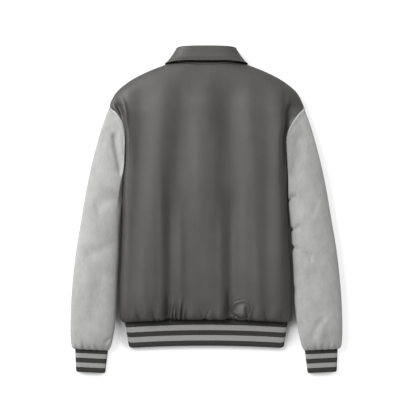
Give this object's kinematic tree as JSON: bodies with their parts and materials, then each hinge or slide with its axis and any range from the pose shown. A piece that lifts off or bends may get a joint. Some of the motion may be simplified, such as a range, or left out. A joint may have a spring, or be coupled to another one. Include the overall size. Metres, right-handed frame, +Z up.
{
  "type": "varsity jacket",
  "caption": "Varsity jacket laid flat on its front: smooth leather body with a turned-down collar, suede sleeves, and striped rib-knit cuffs and hem. Its fronts close with snaps.",
  "frame": {"origin": "on the surface that the jacket lies on, under the middle of its outline", "axes": "+Y from the hem to the collar, +X to the right seen from above with the collar at the top, +Z up from the surface through the back"},
  "size_m": [0.6798, 0.8183, 0.0592],
  "materials": {
    "leather": "satin",
    "suede": "napped",
    "rib_knit": "matte",
    "snap": "satin"
  },
  "bodies": {
    "root": {"back": "leather", "front_left": "leather", "front_right": "leather", "collar_stand": "leather", "collar_leaf": "leather", "sleeve_left": "suede", "sleeve_right": "suede", "hem_rib": "rib_knit", "cuff_left": "rib_knit", "cuff_right": "rib_knit", "snap_1": "snap", "snap_2": "snap", "snap_3": "snap", "snap_4": "snap", "snap_5": "snap", "snap_6": "snap", "snap_7": "snap"}
  },
  "joints": []
}
